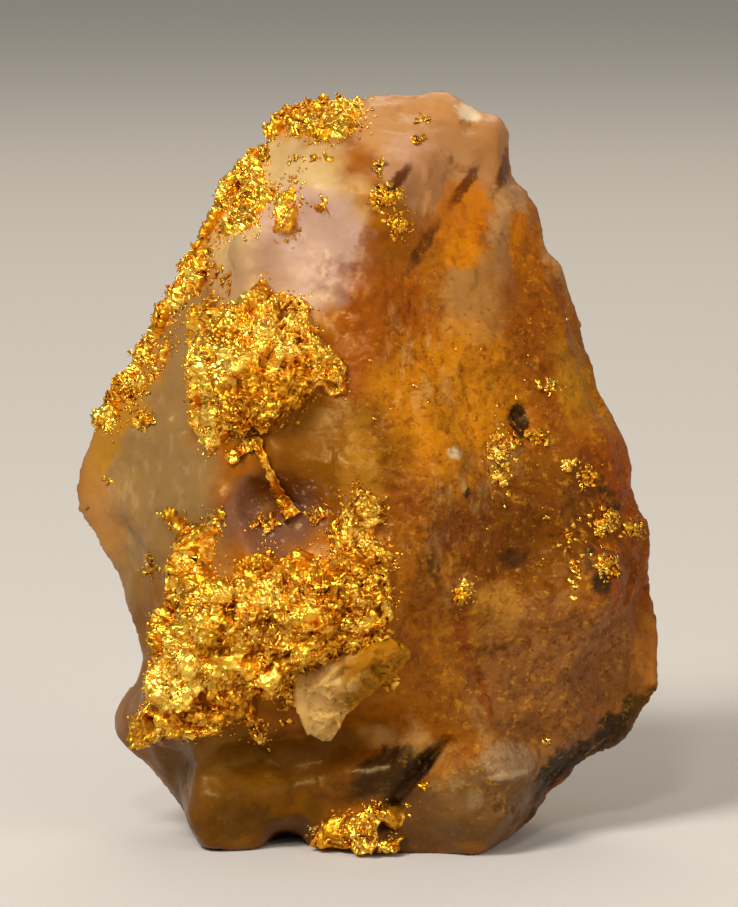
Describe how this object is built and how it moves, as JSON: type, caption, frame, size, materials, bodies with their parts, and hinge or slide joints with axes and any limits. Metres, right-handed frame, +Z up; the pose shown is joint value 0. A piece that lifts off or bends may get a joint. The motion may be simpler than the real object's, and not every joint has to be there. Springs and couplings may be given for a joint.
{
  "type": "gold in quartz specimen",
  "caption": "Chipped upright piece of amber and grey vein quartz with crumpled crusts and flecks of native gold on its face, left edge and top, standing on a level underside.",
  "frame": {"origin": "under the middle of the whole piece, in the plane of the level underside that it stands on", "axes": "+Z up; -Y out of the face that carries the gold, which leans back by 8 degrees; +X to the right as the face is looked at"},
  "size_m": [0.0214, 0.0152, 0.0271],
  "materials": {
    "quartz": "glossy broken vein quartz, cloudy and see-through only in its depth, stained amber, brown and grey by iron",
    "pale_quartz": "cream-yellow granular quartz with a frosted break",
    "gold": "bright crumpled native gold foil with sharp glints"
  },
  "bodies": {
    "root": {"quartz": "quartz", "pale_chip": "pale_quartz", "gold_crust_upper": "gold", "gold_crust_lower": "gold", "gold_crest": "gold", "gold_rim": "gold", "gold_base_flake": "gold", "gold_strand": "gold", "gold_fleck_left": "gold", "gold_fleck_flank": "gold", "gold_fleck_shoulder": "gold", "gold_fleck_brow": "gold", "gold_fleck_hollow": "gold", "gold_fleck_bridge": "gold", "gold_fleck_bar": "gold", "gold_fleck_right_upper": "gold", "gold_fleck_right_lower": "gold", "gold_fleck_edge_upper": "gold", "gold_fleck_edge_middle": "gold", "gold_fleck_edge_lower": "gold", "gold_fleck_rim_right": "gold"}
  },
  "joints": []
}
